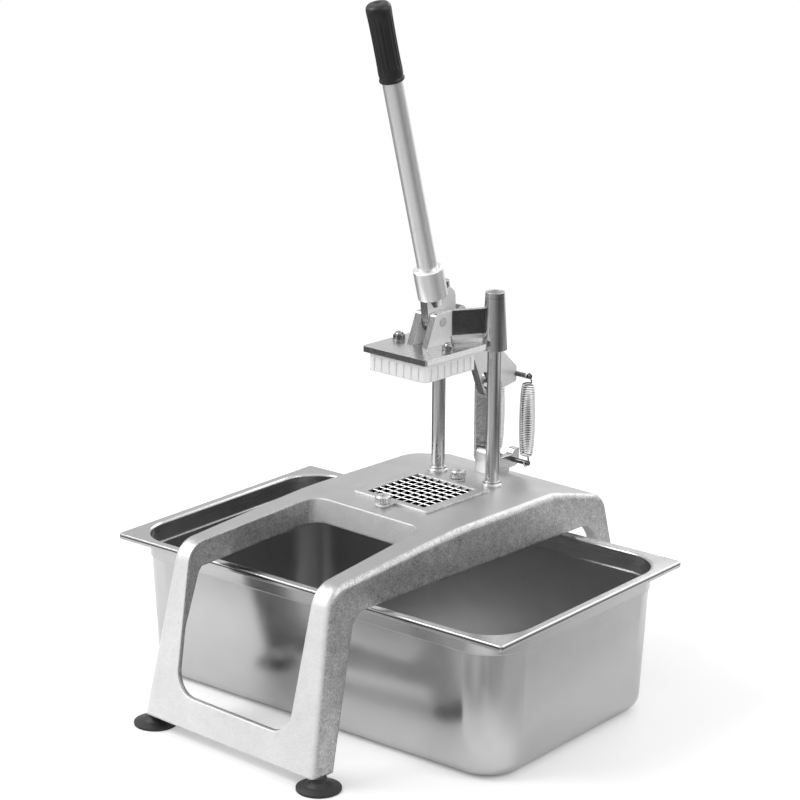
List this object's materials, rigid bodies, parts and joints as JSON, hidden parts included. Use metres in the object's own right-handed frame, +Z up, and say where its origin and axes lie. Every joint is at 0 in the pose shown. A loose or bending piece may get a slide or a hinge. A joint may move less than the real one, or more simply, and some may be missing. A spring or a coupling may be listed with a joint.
{
  "type": "french fry cutter",
  "caption": "Hand lever cutter on a cast stand: the lever drives a toothed block down two columns and presses a potato through a blade grid into a pan below.",
  "frame": {"origin": "on the worktop, straight under the middle of the blade grid", "axes": "+X to the right, +Y to the rear, +Z up; the user stands in front, at -Y"},
  "size_m": [0.5482, 0.5434, 0.7639],
  "materials": {
    "cast_aluminium": "bead blasted casting, brushed on top",
    "stainless_sheet": "pressed stainless sheet, satin",
    "stainless_plate": "brushed stainless plate",
    "blade_steel": "hardened strip, ground",
    "polished_steel": "polished",
    "zinc_steel": "bright zinc",
    "polished_casting": "polished casting",
    "white_plastic": "smooth white acetal",
    "black_plastic": "moulded grip",
    "foot_rubber": "black rubber",
    "bush_plastic": "bearing plastic"
  },
  "bodies": {
    "stand": {"stand_casting": "cast_aluminium", "front_left_foot": "foot_rubber", "front_right_foot": "foot_rubber", "rear_left_foot": "foot_rubber", "rear_right_foot": "foot_rubber", "foot_studs": "zinc_steel", "blade_frame": "polished_casting", "blades_across": "blade_steel", "blades_along": "blade_steel", "knob_studs": "zinc_steel", "left_column": "polished_steel", "right_column": "polished_steel", "left_column_collar": "polished_casting", "right_column_collar": "polished_casting", "column_nuts": "zinc_steel", "link_base": "polished_casting", "link_base_bolts": "zinc_steel", "link_pin_lower": "zinc_steel", "spring_rod_lower": "zinc_steel"},
    "carriage": {"pusher_plate": "stainless_plate", "pusher_block": "white_plastic", "pusher_studs": "zinc_steel", "pusher_nuts": "polished_steel", "left_carriage_bracket": "polished_casting", "right_carriage_bracket": "polished_casting", "left_sleeve": "polished_steel", "right_sleeve": "polished_steel", "guide_bushes": "bush_plastic", "bush_screws": "zinc_steel", "lever_pivot_pin": "zinc_steel"},
    "lever": {"lever_arm": "stainless_plate", "lever_socket": "polished_casting", "lever_tube": "polished_steel", "lever_grip": "black_plastic", "spring_rod_upper": "zinc_steel"},
    "link": {"link_channel": "stainless_sheet", "link_pin_upper": "zinc_steel", "link_spacers": "bush_plastic"},
    "springs": {"left_return_spring": "zinc_steel", "right_return_spring": "zinc_steel"},
    "front_knob": {"front_blade_knob": "polished_steel"},
    "rear_knob": {"rear_blade_knob": "polished_steel"},
    "gastronorm_pan": {"pan": "stainless_sheet"}
  },
  "joints": [
    {"name": "pusher_slide", "type": "slide", "parent": "stand", "child": "carriage", "axis": [0, 0, -1], "range_m": [0, 0.14], "stiffness_N_per_m": 350, "springref_m": -0.18},
    {"name": "lever_swing", "type": "hinge", "parent": "carriage", "child": "lever", "pos_m": [0, 0.0165, 0.4113], "axis": [1, 0, 0], "range_deg": [0, 61.9]},
    {"name": "link_swing", "type": "hinge", "parent": "stand", "child": "link", "pos_m": [0, 0.1105, 0.238], "axis": [-1, 0, 0], "range_deg": [0, 25.2]},
    {"name": "spring_stretch", "type": "slide", "parent": "stand", "child": "springs", "axis": [0, 0.1445, 0.9895], "range_m": [0, 0.0273], "deforming": ["left_return_spring", "right_return_spring"]},
    {"name": "front_knob_turn", "type": "hinge", "parent": "stand", "child": "front_knob", "pos_m": [0, -0.0618, 0.2262], "axis": [0, 0, 1], "continuous": true},
    {"name": "rear_knob_turn", "type": "hinge", "parent": "stand", "child": "rear_knob", "pos_m": [0, 0.0618, 0.2262], "axis": [0, 0, 1], "continuous": true},
    {"name": "pan_slide", "type": "slide", "parent": "stand", "child": "gastronorm_pan", "axis": [0.9982, 0.0602, 0], "range_m": [0, 0.4]}
  ],
  "couplings": [
    {"joint": "lever_swing", "follows": "pusher_slide", "rad_per_m": 7.7013},
    {"joint": "link_swing", "follows": "pusher_slide", "rad_per_m": 3.1322},
    {"joint": "spring_stretch", "follows": "pusher_slide", "ratio": 0.1938}
  ]
}
